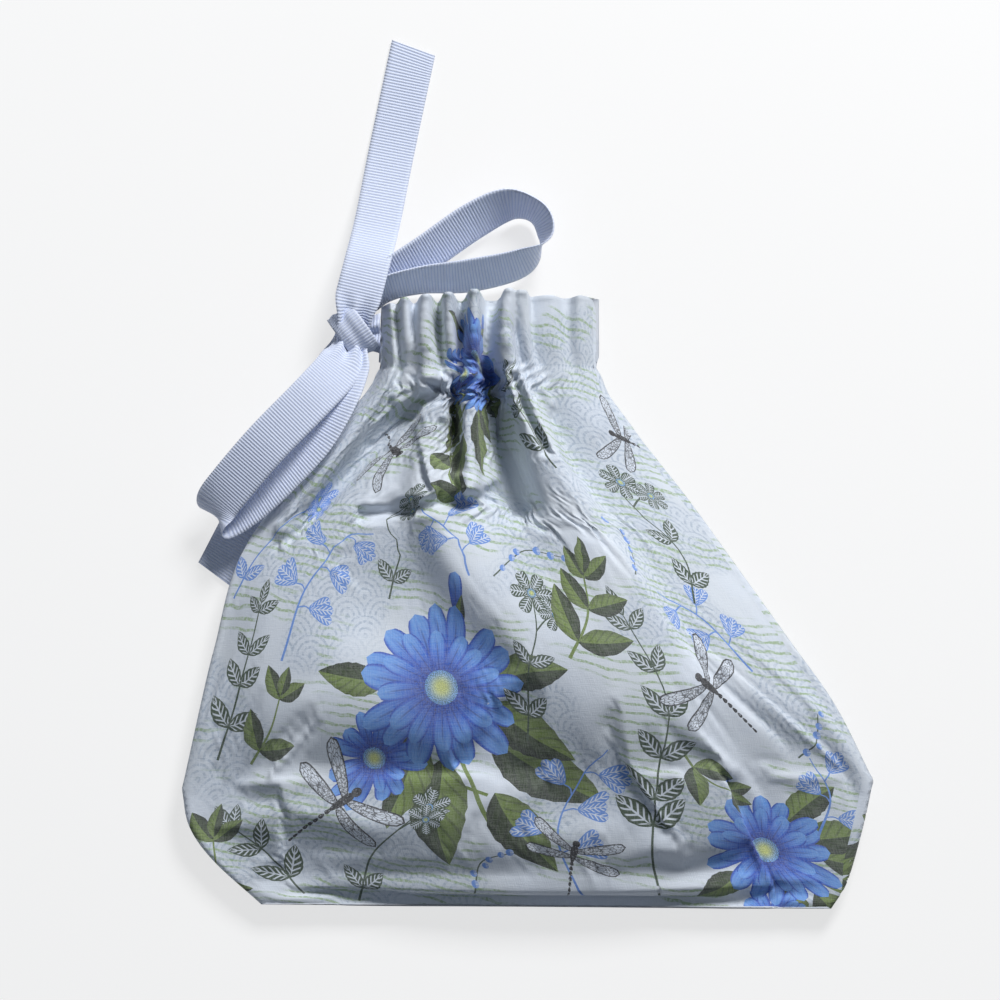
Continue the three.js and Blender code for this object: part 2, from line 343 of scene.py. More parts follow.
# ridges and valleys: path down the front, rise at its start and end, reach to its left and right
folds = [
    ([(-49.2, 106), (-48.2, 91), (-49.2, 79), (-61, 60.6), (-75.7, 39.7), (-85.4, 25.8)],
     (9, 8), (2.4, 4), (2.4, 5)),
    ([(-43, 106), (-42, 91), (-41, 81), (-45.8, 71)], (10, 3), (2.3, 2.7), (2.2, 2.7)),
    ([(-35.3, 106), (-36, 91), (-34.6, 80.4), (-34, 61), (-38, 37)], (12, 5), (2.6, 6), (2.8, 8)),
    ([(-27.7, 106), (-27, 91), (-26.3, 80.4), (-28, 64.7)], (14, 3), (2.6, 2.7), (2.8, 2.7)),
    ([(-18.6, 106), (-18.6, 91), (-20, 77), (-20, 61), (-20, 45), (-18.6, 37.6)],
     (16, 10), (3, 4.5), (3, 3.8)),
    ([(-6.8, 106), (-7.5, 91), (-5.4, 78.6), (3, 60.6), (12, 42.5), (25.2, 23), (39.2, 2), (54.8, -29),
      (67.7, -58.8)], (16, 5), (2.6, 34), (3.4, 6)),
    ([(-1.6, 106), (-1.2, 91), (0.9, 81.4), (7, 68)], (11, 2), (2.2, 3), (2, 2.5)),
    ([(7, 106), (7.8, 91), (11.3, 77), (21.7, 61)], (5, 2), (8, 8), (4, 6)),
    ([(19.7, 107), (19.7, 91), (22.4, 78.6), (28.7, 68)], (5, 1), (4, 5), (6, 6)),
    ([(-31.5, 72.4), (-47, 60.6), (-65, 40.4), (-83.3, 22)], (-10, -5), (3, 5), (2.6, 2.8)),
    ([(-25.6, 74.5), (-25, 57.8), (-23.8, 46)], (-9, -5), (2, 2.4), (2, 2.4)),
    ([(-12, 78.6), (-9.6, 64.7), (-5.7, 47.3), (-2.6, 32.7)], (-15, -14), (3.8, 6.5), (3.2, 5.6)),
    ([(-4, 75.9), (0.9, 63.3), (6.8, 51.5)], (-8, -4), (1.4, 1.8), (1.4, 1.6)),
    ([(-57.6, 30), (-34, 32.4), (-20, 34), (-11, 37.6)], (-4, -6), (2.2, 2.6), (2.2, 2.6)),
    ([(-31.8, 32), (-27, 16), (-13, -2), (0.9, -17.4), (14, -30.6), (25.2, -46.6)],
     (9, 5), (8, 14), (18, 26)),
    ([(-51.3, -1.4), (-30.4, -18.8), (-9.6, -36.2)], (-8, -4), (18, 20), (22, 20)),
    ([(-96.6, 2), (-96.6, -32.7), (-89.6, -67.5)], (3, 2), (20, 24), (14, 14)),
]


def sideRows(line, knots):
    edges = (0, *knots, len(line) - 1)
    parts = []
    for k, rows in enumerate(pouch["zoneRows"]):
        part = curveThrough(line[edges[k]:edges[k + 1] + 1], rows)
        parts.append(part if k == 0 else part[1:])
    return np.vstack(parts)


leftRows = sideRows(pouch["leftLine"], pouch["leftKnots"])
rightRows = sideRows(pouch["rightLine"], pouch["rightKnots"])
rowCount = len(leftRows)
columns = pouch["columns"]
cornerRows, flankRows, casingRows = pouch["zoneRows"]
stitchRow = cornerRows + flankRows
zoneStops = [0, cornerRows, stitchRow, stitchRow + casingRows]


def zoneValue(values, row):
    return np.interp(row, zoneStops, (*values, values[-1]))


def edgeFade(across):
    return np.clip(pouch["edgeFade"] * (1 - np.abs(across)), 0, 1)


def foldLift(points, path, rise, reachLeft, reachRight):
    steps = 60
    line = curveThrough(path, steps)
    apart = ((points[:, None] - line[None]) ** 2).sum(-1)
    near = apart.argmin(1)
    t = near / steps
    way = unit(np.gradient(line, axis=0))[near]
    off = points - line[near]
    onRight = way[:, 0] * off[:, 1] - way[:, 1] * off[:, 0] > 0  # paths head down the cloth
    reach = np.where(onRight, np.interp(t, (0, 1), reachRight), np.interp(t, (0, 1), reachLeft))
    fullness = foldFullness["narrow"] - foldFullness["perReach"] * reach
    fullness = np.clip(fullness, *foldFullness["limits"])
    return np.interp(t, (0, 1), rise) * np.exp(-(np.sqrt(apart.min(1)) / reach) ** fullness)


def neckBase(across, side):  # height of the drawn-up neck without its gathers
    dome = np.maximum(1 - np.abs(across) ** pouch["archPower"][1], 0)
    drop = np.minimum(1, pouch["backFill"] * dome)
    lift = pouch["neckRise"] * dome if side > 0 else -pouch["neckDrop"] * drop
    return pouch["seamHeights"][-1] + lift


def rowProfile(row, front):
    across = np.linspace(-1, 1, pouch["profileSteps"])
    corner = min(row / cornerRows, 1)
    neck = smoothStep((row - cornerRows) / flankRows)
    bodyPower, neckPower = pouch["archPower"]
    dome = 1 - np.abs(across) ** (bodyPower + (neckPower - bodyPower) * neck)
    plan = leftRows[row] + (rightRows[row] - leftRows[row]) * ((across + 1) / 2)[:, None]
    seam = zoneValue(pouch["seamHeights"], row)
    edge = edgeFade(across)
    casing = max(row - stitchRow, 0) / casingRows
    if front:
        body = pouch["bodyRise"] * (1 - (1 - corner) ** pouch["cornerRound"])
        lift = sum(foldLift(plan, *fold) for fold in folds)
        taken, rowsReached = pouch["stitchPinch"]
        pinch = 1 - taken * math.exp(-((row - stitchRow) / rowsReached) ** 2)
        z = (body * (1 - neck) + pouch["neckRise"] * neck) * dome + lift * edge * pinch
        z = np.maximum(z, pouch["tableClear"] - seam)
        plan[:, 1] += pouch["frill"] * casing * edge * lift / pouch["fullGather"]
    else:
        sag = (seam - pouch["backClear"]) * (1 - neck) + pouch["neckDrop"] * neck
        uneven, often = backGathers["uneven"]
        phase = backGathers["waves"] * across + uneven * np.sin(often * across)
        crests = 0.5 + 0.5 * np.cos(math.tau * phase)
        change, changeWaves = backGathers["depthChange"]
        depth = backGathers["depth"] + change * np.sin(changeWaves * across)
        gathered = edge * neck ** backGathers["neckPower"] * depth * crests
        z = -sag * np.minimum(1, pouch["backFill"] * dome) - gathered
        plan[:, 1] += backGathers["frillShare"] * pouch["frill"] * casing * edge * crests
    return np.column_stack([plan, seam + z])


def startShape(front):
    grid = np.zeros((rowCount, columns + 1, 3))
    for row in range(rowCount):
        line = rowProfile(row, front)
        along = lengthsAlong(line)
        at = np.linspace(0, along[-1], columns + 1)
        grid[row] = np.stack([np.interp(at, along, line[:, k]) for k in range(3)], axis=1)
    return grid


flatStops = np.concatenate([[0], np.cumsum(pouch["flatLengths"])])
flatAlong = np.interp(np.arange(rowCount), zoneStops, flatStops)
flatWidth = zoneValue(pouch["flatWidths"], np.arange(rowCount))


def gridFaces(index):
    corners = [index[:-1, :-1], index[:-1, 1:], index[1:, 1:], index[1:, :-1]]
    return np.stack(corners, axis=-1).reshape(-1, 4)


drape = {
    "scale": 10,  # simulated ten times as large, where the solver is steadier
    "frames": 24,
    "hold": (0.12, 0.78),  # how firmly the sculpted shape is kept, bottom and neck
    "holdPower": 0.8,
    "edgeHold": 1.0,
    "gravity": 0.4,
    "layerGap": 0.4,
    "cloth": {
        "quality": 6,
        "mass": 0.3,
        "tension_stiffness": 40,
        "compression_stiffness": 40,
        "shear_stiffness": 20,
        "bending_stiffness": 0.6,
        "tension_damping": 10,
        "compression_damping": 10,
        "shear_damping": 10,
        "bending_damping": 1,
        "air_damping": 2,
        "vertex_group_mass": "pins",
        "pin_stiffness": 0.3,
    },
    "contact": {
        "collision_quality": 3,
        "distance_min": 0.004,
        "use_self_collision": True,
        "self_distance_min": 0.006,
        "self_friction": 3,
    },
    "table": {"thickness_outer": 0.004, "cloth_friction": 20},
    "tableSize": 8,
    "spareFrames": 5,
}


def drapeCloth(front, back):
    # both panels as one tube sewn at the sides and the bottom fold, left to settle on the table
    frontIndex = np.arange(front[..., 0].size).reshape(front.shape[:2])
    backIndex = frontIndex.copy()
    inner = np.zeros(front.shape[:2], bool)
    inner[1:, 1:-1] = True
    backIndex[inner] = front[..., 0].size + np.arange(inner.sum())
    points = np.vstack([front.reshape(-1, 3), back[inner]])
    flat = np.zeros(front.shape)
    flat[..., 0] = np.linspace(-0.5, 0.5, columns + 1)[None] * flatWidth[:, None]
    flat[..., 1] = flatAlong[:, None]
    flatPoints = np.vstack([flat.reshape(-1, 3), flat[inner] - (0, 0, drape["layerGap"])])
    faces = np.vstack([gridFaces(frontIndex), gridFaces(backIndex)[:, ::-1]])

    scale = drape["scale"]
    cloth = addMesh("drapingCloth", points * scale, faces)
    cloth.shape_key_add(name="Basis")
    cutShape = cloth.shape_key_add(name="cut")
    cutShape.data.foreach_set("co", (flatPoints * mm * scale).astype(np.float32).ravel())
    rowOf = np.zeros(len(points), int)
    rowOf[frontIndex] = np.arange(rowCount)[:, None]
    rowOf[backIndex] = np.arange(rowCount)[:, None]
    rising = np.clip((rowOf - cornerRows) / flankRows, 0, 1) ** drape["holdPower"]
    hold = np.interp(rising, (0, 1), drape["hold"])
    hold[np.concatenate([frontIndex[0], frontIndex[:, 0], frontIndex[:, -1]])] = drape["edgeHold"]
    hold[rowOf >= stitchRow - 1] = 1
    pins = cloth.vertex_groups.new(name="pins")
    for weight in np.unique(hold.round(3)):
        pins.add(np.nonzero(hold.round(3) == weight)[0].tolist(), float(weight), "REPLACE")

    bpy.ops.mesh.primitive_plane_add(size=drape["tableSize"])
    table = bpy.context.object
    table.modifiers.new("Collision", "COLLISION")
    setAll(table.collision, drape["table"])
    settle = cloth.modifiers.new("Cloth", "CLOTH")
    setAll(settle.settings, drape["cloth"])
    settle.settings.effector_weights.gravity = drape["gravity"]
    settle.settings.rest_shape_key = cutShape
    setAll(settle.collision_settings, drape["contact"])
    settle.point_cache.frame_end = drape["frames"] + drape["spareFrames"]
    for step in range(1, drape["frames"] + 1):
        bpy.context.scene.frame_set(step)
    settled = np.zeros(len(points) * 3, np.float32)
    ready = cloth.evaluated_get(bpy.context.evaluated_depsgraph_get())
    ready.data.vertices.foreach_get("co", settled)
    settled = settled.reshape(-1, 3).astype(float) / (mm * scale)
    bpy.context.scene.frame_set(1)
    bpy.data.objects.remove(cloth)
    bpy.data.objects.remove(table)
    return settled[frontIndex], settled[backIndex]


frontGrid = startShape(True)
backGrid = startShape(False)
print("pouch shaped")
frontGrid, backGrid = drapeCloth(frontGrid, backGrid)
print("cloth settled, highest point %.1f mm" % frontGrid[..., 2].max())


def turnHem(grid, side):  # the mouth edge turned down inside the casing, round the ribbon
    rows = []
    count = pouch["hemRows"]
    soon, sharply = pouch["hemTuck"]
    for step in range(1, count + 1):
        at = rowCount - 1 - (step - 0.5) * casingRows / count
        low = int(at)
        row = grid[low] + (grid[low + 1] - grid[low]) * (at - low)
        across = 2 * (row[:, 0] - row[0, 0]) / (row[-1, 0] - row[0, 0]) - 1
        base = neckBase(across, side)
        tucked = base - side * pouch["hemGap"] * edgeFade(across) - pouch["hemPuff"] * (row[:, 2] - base)
        row[:, 2] = tucked + (row[:, 2] - tucked) * math.exp(-soon * step**sharply)
        rows.append(row)
    return np.vstack([grid, np.array(rows)])


# the whole tube: front from left to right, then the back from right to left
tube = np.concatenate([turnHem(frontGrid, 1), turnHem(backGrid, -1)[:, -2:0:-1]], axis=1)
tubeRows, tubeColumns = tube.shape[:2]
hemLength = np.arange(1, pouch["hemRows"] + 1) * pouch["flatLengths"][2] / pouch["hemRows"]
alongRows = np.concatenate([flatAlong, flatAlong[-1] + hemLength])
widthRows = np.concatenate([flatWidth, np.full(pouch["hemRows"], flatWidth[-1])])
stitchAlong = flatAlong[stitchRow]
cutLength = alongRows[-1]


def patchWeights(t):
    values = [-t + 2 * t**2 - t**3, 2 - 5 * t**2 + 3 * t**3, t + 4 * t**2 - 3 * t**3, t**3 - t**2]
    slopes = [-1 + 4 * t - 3 * t**2, 9 * t**2 - 10 * t, 1 + 8 * t - 9 * t**2, 3 * t**2 - 2 * t]
    return np.stack(values) / 2, np.stack(slopes) / 2


def surfaceAt(row, column):  # place and outward normal on the smooth tube
    row = np.clip(row, 0, tubeRows - 1 - 1e-6)
    r0 = np.floor(row).astype(int)
    c0 = np.floor(column).astype(int)
    rowW, rowS = patchWeights(row - r0)
    colW, colS = patchWeights(column - c0)
    place = 0
    upTube = 0
    roundTube = 0
    for i in range(4):
        r = np.clip(r0 + i - 1, 0, tubeRows - 1)
        for j in range(4):
            p = tube[r, (c0 + j - 1) % tubeColumns]
            place = place + p * (rowW[i] * colW[j])[:, None]
            upTube = upTube + p * (rowS[i] * colW[j])[:, None]
            roundTube = roundTube + p * (rowW[i] * colS[j])[:, None]
    return place, unit(np.cross(roundTube, upTube))


def seamColumn(row):  # the right side seam's place round the tube
    return columns - pouch["seamShift"] * smoothStep(row / pouch["seamStart"])


def panelPlace(flat, front):  # from the cut panel to the tube
    row = np.interp(flat[:, 1], alongRows, np.arange(tubeRows))
    share = flat[:, 0] / np.interp(flat[:, 1], alongRows, widthRows) + 0.5
    split = seamColumn(row)
    column = share * split if front else split + share * (tubeColumns - split)
    return surfaceAt(row, column)


# Printed design: shapes on the cut panel, later ones on top
bareMotif = (0.5, 9.0)  # motif place where a face has no spine
profiles = {
    "leaf": lambda t: np.sin(math.pi * t**0.85) ** 0.9,
    "petal": lambda t: t**0.5 * np.sqrt(np.maximum(1 - t**5, 0)),
    "wing": lambda t: t**0.4 * np.sqrt(np.maximum(1 - t**7, 0)),
}

# turn and reach from the bloom's middle, then length and width
bouquetLeaves = [
    (2.72, 0.9, 1.5, 0.7),
    (3.55, 0.85, 1.6, 0.76),
    (2.3, 0.62, 1.35, 0.62),
    (3.95, 0.6, 1.3, 0.6),
    (3.2, 1.5, 1.3, 0.62),
    (4.5, 0.7, 1.1, 0.5),
    (1.15, 0.75, 0.9, 0.42),
]


def turned(points, angle):
    c, s = math.cos(angle), math.sin(angle)
    return np.asarray(points) @ np.array([[c, s], [-s, c]])


def toward(angle):
    return np.array((math.cos(angle), math.sin(angle)))


def angleOf(way):
    return math.atan2(way[1], way[0])


class Design:
    def __init__(self, seed):
        self.shapes = []
        self.dice = random.Random(seed)

    def between(self, low, high):
        return self.dice.uniform(low, high)

    def blade(self, kind, finish, base, angle, length, width, bend=0.0, teeth=0, points=15):
        # a shape with a spine: leaf, petal or wing
        t = np.linspace(0, 1, points)
        half = width / 2 * profiles[kind](np.clip(t, 1e-4, 1))
        if teeth:
            half = half * (1 + 0.09 * np.abs((t * teeth) % 1 - 0.5) * 2 - 0.04)
        upper = np.column_stack([t * length, half])
        lower = np.column_stack([t * length, -half])[::-1]
        line = np.vstack([upper, lower])
        keep = np.linalg.norm(line - np.roll(line, 1, axis=0), axis=1) > 0.05
        line = line[keep]
        line[:, 1] += bend * line[:, 0] ** 2 / length
        self.shapes.append({
            "outline": turned(line, angle) + base, "finish": finish, "kind": kind,
            "base": np.array(base, float), "angle": angle, "length": length,
            "half": width / 2, "bend": bend,
        })

    def stroke(self, finish, points, startWidth, endWidth):
        line = curveThrough(points, max(6, int(len(points) * 5)))
        way = unit(np.gradient(line, axis=0))
        side = np.column_stack([-way[:, 1], way[:, 0]])
        half = np.linspace(startWidth, endWidth, len(line))[:, None] / 2
        outline = np.vstack([line + side * half, (line - side * half)[::-1]])
        self.shapes.append({"outline": outline, "finish": finish, "kind": None})
        return line

    def dot(self, finish, middle, radius, points=16):
        turn = np.linspace(0, math.tau, points, endpoint=False)
        ring = np.column_stack([np.cos(turn), np.sin(turn)]) * radius + middle
        self.shapes.append({
            "outline": ring, "finish": finish, "kind": "dot",
            "base": np.array(middle, float), "half": radius,
        })

    def bloom(self, middle, radius, petals, lean=0.0, squeeze=1.0):
        # two rings of slim petals round a stippled heart
        for ring, (share, wide, shift) in enumerate(((1.0, 0.42, 0.0), (0.72, 0.34, 0.5))):
            for k in range(petals - 3 * ring):
                turn = math.tau * (k + shift + self.between(-0.18, 0.18)) / (petals - 3 * ring) + lean
                reach = radius * share * self.between(0.86, 1.05)
                reach *= squeeze + (1 - squeeze) * abs(math.cos(turn - lean))
                start = np.array(middle) + 0.12 * radius * toward(turn)
                width = wide * radius * self.between(0.85, 1.1)
                self.blade("petal", "bluePetal", start, turn, reach, width, self.between(-0.1, 0.1))
        self.dot("bloomHeart", middle, 0.22 * radius)

    def blossom(self, finish, middle, radius, petals=6):
        # small open flower cut in the block
        lean = self.between(0, 1)
        for k in range(petals):
            turn = math.tau * k / petals + lean
            start = np.array(middle) + 0.16 * radius * toward(turn)
            reach = radius * self.between(0.8, 0.95)
            self.blade("petal", finish, start, turn, reach, 0.8 * radius, points=13)
        self.dot("bloomHeart", middle, 0.22 * radius, 12)

    def sprig(self, finish, points, pairs, leafLength, bloomRadius):
        # a leafy stem that carries two open flowers
        self.spray(finish, points, pairs, leafLength, leafLength * 0.5, 0.8, 7, False, 0.15)
        self.blossom(finish, points[-1], bloomRadius)
        beside = np.array(points[-2]) + (self.between(8, 11), self.between(2, 6))
        self.stroke(finish, [points[-2], (np.array(points[-2]) + beside) / 2 + (0, 1), beside], 0.6, 0.5)
        self.blossom(finish, beside, bloomRadius * 0.8)

    def spray(self, finish, points, pairs, leafLength, leafWidth, stem=0.9, teeth=9, tip=True, start=0.25):
        # a stem with leaves in pairs that get smaller to the tip
        line = self.stroke(finish, points, stem, stem * 0.5)
        way = unit(np.gradient(line, axis=0))
        for k in range(pairs):
            at = int((start + (0.95 - start) * k / max(pairs - 1, 1)) * (len(line) - 1))
            size = 1 - 0.45 * k / pairs
            heading = angleOf(way[at])
            for hand in (1, -1):
                angle = heading + hand * self.between(0.7, 1.0)
                reach = leafLength * size * self.between(0.9, 1.1)
                bend = hand * self.between(-0.18, 0.02)
                foot = line[at] + 0.4 * way[at]
                self.blade("leaf", finish, foot, angle, reach, leafWidth * size, bend, teeth)
        if tip:
            heading = angleOf(way[-1])
            self.blade("leaf", finish, line[-1], heading, leafLength * 0.7, leafWidth * 0.6, 0, teeth)

    def bells(self, points, count, size):
        # a thin arching stem with hanging bell flowers
        line = self.stroke("blueBlock", points, 0.9, 0.4)
        for k in range(count):
            at = int((0.3 + 0.66 * k / count) * (len(line) - 1))
            hand = 1 if k % 2 else -1
            way = unit(np.gradient(line, axis=0))[at]
            angle = angleOf(way) + hand * self.between(1.0, 1.5)
            foot = line[at] + 0.45 * size * toward(angle)
            self.stroke("blueBlock", [line[at], (line[at] + foot) / 2 + 0.06 * size, foot], 0.5, 0.5)
            for fan in (-0.42, 0.42, 0):
                reach = size * self.between(0.9, 1.1)
                self.blade("petal", "blueBlock", foot, angle + fan, reach, 0.52 * size)

    def dragonfly(self, middle, angle, size):
        # ink drawing of a dragonfly seen from above
        middle = np.array(middle, float)
        ahead = toward(angle)
        for hand in (1, -1):
            for sweep, reach in ((1.22, 1.0), (1.75, 0.9)):
                wing = angle + hand * sweep
                foot = middle + ahead * size * (0.12 if sweep < 1.5 else 0.0)
                self.blade("wing", "inkLine", foot, wing, reach * size, 0.27 * size, -0.12 * hand)
                inset = foot + 0.035 * size * toward(wing)
                self.blade("wing", "inkWing", inset, wing, reach * size * 0.94, 0.22 * size, -0.12 * hand)
        for k in range(8):
            at = middle - ahead * size * (0.1 + 0.105 * k)
            width = (0.1 - 0.007 * k) * size
            self.blade("petal", "inkLine", at, angle + math.pi, 0.1 * size, width, points=9)
        self.blade("petal", "inkLine", middle - ahead * 0.14 * size, angle, 0.4 * size, 0.19 * size)
        self.dot("inkLine", middle + ahead * 0.3 * size, 0.075 * size)

    def berries(self, points, count, radius):
        line = self.stroke("greenBlock", points, 0.6, 0.3)
        for k in range(count):
            at = line[int((k + 1) / count * (len(line) - 1))]
            place = at + np.array((self.between(-2, 2), self.between(-1, 1)))
            self.dot("blueBlock", place, radius * self.between(0.8, 1.1), 12)

    def bouquet(self, middle, size, heading):
        # a large bloom with a side bloom, a bud and broad leaves
        middle = np.array(middle, float)

        def off(turn, reach):
            return middle + size * reach * toward(heading + turn)

        self.stroke("oliveLeaf", [off(math.pi, 2.3), off(math.pi - 0.12, 1.2), middle], 1.7, 1.2)
        self.stroke("oliveLeaf", [off(math.pi, 1.5), off(2.5, 1.15), off(2.05, 1.25)], 1.2, 0.9)
        for turn, reach, length, width in bouquetLeaves:
            angle = heading + turn + self.between(-0.15, 0.15)
            bend = self.between(-0.16, 0.16)
            self.blade("leaf", "oliveLeaf", off(turn, reach), angle, size * length, size * width,
                       bend, teeth=11, points=19)
        self.bloom(off(2.0, 1.3), size * 0.66, 12, heading + 2.0, 0.72)
        self.blade("petal", "bluePetal", off(-0.7, 0.95), heading - 0.6, size * 0.62, size * 0.3)
        self.blade("leaf", "oliveLeaf", off(-0.72, 0.8), heading - 0.8, size * 0.5, size * 0.16)
        self.bloom(middle, size, 16, heading)


frontPrint = {
    "seed": 5,
    "motifs": [
        ("bouquet", (-28, 86), 28, 1.9),
        ("bouquet", (84, 24), 22, 2.6),
        ("bouquet", (-4, 212), 19, 1.3),
        ("spray", "greenBlock", [(40, 6), (44, 40), (56, 78), (50, 112)], 6, 17, 8),
        ("spray", "greenBlock", [(-112, 62), (-104, 88), (-98, 116)], 4, 13, 6.5),
        ("spray", "greenBlock", [(60, 170), (52, 192), (40, 206)], 3, 14, 7),
        ("spray", "greenBlock", [(-84, 6), (-92, 24), (-104, 38)], 3, 15, 7),
        ("bells", [(14, 4), (10, 30), (18, 52), (30, 62)], 5, 11),
        ("bells", [(-88, 96), (-80, 122), (-66, 140), (-52, 142)], 5, 10),
        ("bells", [(98, 92), (88, 112), (72, 122)], 4, 9),
        ("dragonfly", (76, 84), 2.3, 22),
        ("dragonfly", (-66, 44), 0.7, 24),
        ("dragonfly", (-60, 178), -0.5, 18),
        ("berries", [(2, 126), (16, 136), (32, 134)], 6, 1.5),
        ("berries", [(104, 60), (112, 66), (116, 76)], 5, 1.4),
        ("sprig", "greenBlock", [(-66, 2), (-56, 22), (-44, 34), (-34, 42)], 2, 11, 7),
        ("sprig", "greenBlock", [(2, 66), (6, 88), (14, 106), (16, 120)], 3, 12, 8),
        ("sprig", "greenBlock", [(88, 118), (94, 136), (88, 156), (90, 166)], 3, 12, 7),
        ("sprig", "blueBlock", [(-112, 118), (-104, 136), (-92, 150), (-84, 156)], 2, 10, 7),
        ("sprig", "greenBlock", [(-46, 118), (-42, 134), (-46, 148), (-40, 156)], 2, 10, 6),
        ("spray", "oliveLeaf", [(24, 96), (36, 112), (40, 128)], 3, 21, 10, 1.2, 11),
        ("spray", "oliveLeaf", [(-122, 4), (-112, 18), (-110, 34)], 2, 18, 9, 1.1, 11),
        ("spray", "oliveLeaf", [(-14, 150), (-22, 166), (-26, 182)], 3, 17, 8, 1.1, 11),
        ("dragonfly", (14, 22), 1.2, 18),
        ("dragonfly", (104, 184), 2.6, 17),
        ("berries", [(-24, 8), (-18, 20), (-6, 24)], 6, 1.4),
        ("berries", [(62, 128), (70, 140), (68, 150)], 6, 1.4),
        ("bells", [(-8, 126), (-14, 142), (-30, 152)], 4, 10),
        ("bells", [(104, 30), (112, 46), (108, 60)], 3, 9),
        ("spray", "oliveLeaf", [(60, 60), (66, 50), (74, 46)], 2, 15, 8, 1.0, 11),
        ("spray", "oliveLeaf", [(-100, 60), (-92, 72), (-88, 84)], 2, 15, 8, 1.0, 11),
    ],
}
backPrint = {
    "seed": 9,
    "motifs": [
        ("bouquet", (30, 92), 25, 1.2),
        ("bouquet", (-78, 30), 20, 0.6),
        ("bouquet", (40, 212), 19, 1.9),
        ("spray", "greenBlock", [(-40, 8), (-44, 44), (-58, 84), (-50, 120)], 6, 17, 8),
        ("spray", "greenBlock", [(104, 40), (98, 70), (90, 100)], 4, 14, 7),
        ("spray", "greenBlock", [(-30, 180), (-40, 196), (-46, 208)], 3, 13, 6.5),
        ("bells", [(-6, 6), (-12, 30), (-8, 52), (6, 62)], 5, 11),
        ("bells", [(74, 120), (66, 140), (50, 150)], 4, 10),
        ("dragonfly", (-86, 110), 0.9, 22),
        ("dragonfly", (62, 28), 2.2, 23),
        ("sprig", "greenBlock", [(88, 54), (82, 70), (84, 88), (76, 98)], 3, 12, 7),
        ("sprig", "greenBlock", [(-16, 70), (-20, 92), (-12, 110), (-16, 122)], 3, 12, 8),
        ("sprig", "blueBlock", [(-96, 142), (-88, 156), (-76, 166), (-70, 172)], 2, 10, 7),
        ("spray", "oliveLeaf", [(112, 4), (104, 18), (106, 34)], 2, 18, 9, 1.1, 11),
        ("spray", "oliveLeaf", [(2, 140), (10, 158), (8, 176)], 3, 17, 8, 1.1, 11),
        ("berries", [(-112, 70), (-106, 82), (-108, 94)], 6, 1.4),
    ],
}


def drawPrint(design):
    drawn = Design(design["seed"])
    for motif, *facts in design["motifs"]:
        getattr(drawn, motif)(*facts)
    return drawn.shapes


def localUv(shape, points):  # along and across the shape's own spine
    kind = shape["kind"]
    if kind is None:
        return np.tile(bareMotif, (len(points), 1))
    off = points - shape["base"]
    if kind == "dot":
        return off / shape["half"]
    off = turned(off, -shape["angle"])
    a = np.clip(off[:, 0] / shape["length"], 0, 1)
    b = off[:, 1] - shape["bend"] * off[:, 0] ** 2 / shape["length"]
    b = b / (shape["half"] * np.maximum(profiles[kind](np.clip(a, 1e-4, 1)), 0.08))
    return np.column_stack([a, np.clip(b, -1, 1)])


def cutEdge(step):  # the cut panel's edge, counter-clockwise
    ups = np.linspace(0, cutLength, int(cutLength / step))
    half = np.interp(ups, alongRows, widthRows) / 2
    lows = np.linspace(-half[0], half[0], int(2 * half[0] / step))
    highs = np.linspace(half[-1], -half[-1], int(2 * half[-1] / step))
    bottom = np.column_stack([lows, np.zeros(len(lows))])
    right = np.column_stack([half, ups])
    top = np.column_stack([highs, np.full(len(highs), cutLength)])
    left = np.column_stack([-half, ups])[::-1]
    return np.vstack([bottom[:-1], right[:-1], top[:-1], left[:-1]])


def turnLine():  # where the back panel comes round the right-hand edge
    ups = np.arange(1, cutLength - 1, 1.0)
    split = seamColumn(np.interp(ups, alongRows, np.arange(tubeRows)))
    width = np.interp(ups, alongRows, widthRows)
    inset = width * (columns - split) / (tubeColumns - split)
    return np.column_stack([inset - width / 2, ups])[inset > 0.8]


cloth = {
    "frontStep": 1.5,
    "backStep": 2.4,
    "innerStep": 2.0,
    "rowRise": 0.866,
    "topRoom": 0.4,
    "sideRoom": 0.6,
    "lineRoom": 0.42,
    "stitchDip": 0.35,
    "stitchWidth": 0.8,
    "crumple": 0.22,
    "crumpleReach": 26,
}


def fillPoints(step, clear):
    # staggered points inside the edge, kept off the drawn outlines
    tree = kdtree.KDTree(len(clear))
    for i, (x, y) in enumerate(clear):
        tree.insert((x, y, 0), i)
    tree.balance()
    rise = step * cloth["rowRise"]
    out = []
    for j, y in enumerate(np.arange(rise, cutLength - cloth["topRoom"] * step, rise)):
        half = np.interp(y, alongRows, widthRows) / 2 - cloth["sideRoom"] * step
        for x in np.arange(-half + (j % 2) * step / 2, half, step):
            if tree.find((x, y, 0))[2] > cloth["lineRoom"] * step:
                out.append((x, y))
    return np.array(out)


def triangulate(edge, inside, shapes):
    points = [Vector(p) for p in edge] + [Vector(p) for p in inside]
    loops = [list(range(len(edge)))]
    for shape in shapes:
        start = len(points)
        x, y = shape["outline"].T
        turnsLeft = x @ np.roll(y, -1) > y @ np.roll(x, -1)
        points += [Vector(p) for p in shape["outline"][::1 if turnsLeft else -1]]
        loops.append(list(range(start, len(points))))
    flat, _, faces, _, _, origins = delaunay_2d_cdt(points, [], loops, 0, 1e-4, True)
    kept = [(f, max(o)) for f, o in zip(faces, origins) if 0 in o and len(f) == 3]
    triangles = np.array([f for f, _ in kept])
    tops = np.array([o for _, o in kept]) - 1
    used, triangles = np.unique(triangles, return_inverse=True)
    flat = np.array([tuple(p) for p in flat])[used]
    return flat, triangles.reshape(-1, 3), tops


def rimLoop(triangles):  # vertices along the open edge, in order
    edges = np.vstack([triangles[:, [0, 1]], triangles[:, [1, 2]], triangles[:, [2, 0]]])
    there = set(map(tuple, edges.tolist()))
    following = {a: b for a, b in there if (b, a) not in there}
    first = next(iter(following))
    loop = [first]
    while following[loop[-1]] != first:
        loop.append(following[loop[-1]])
    return np.array(loop)




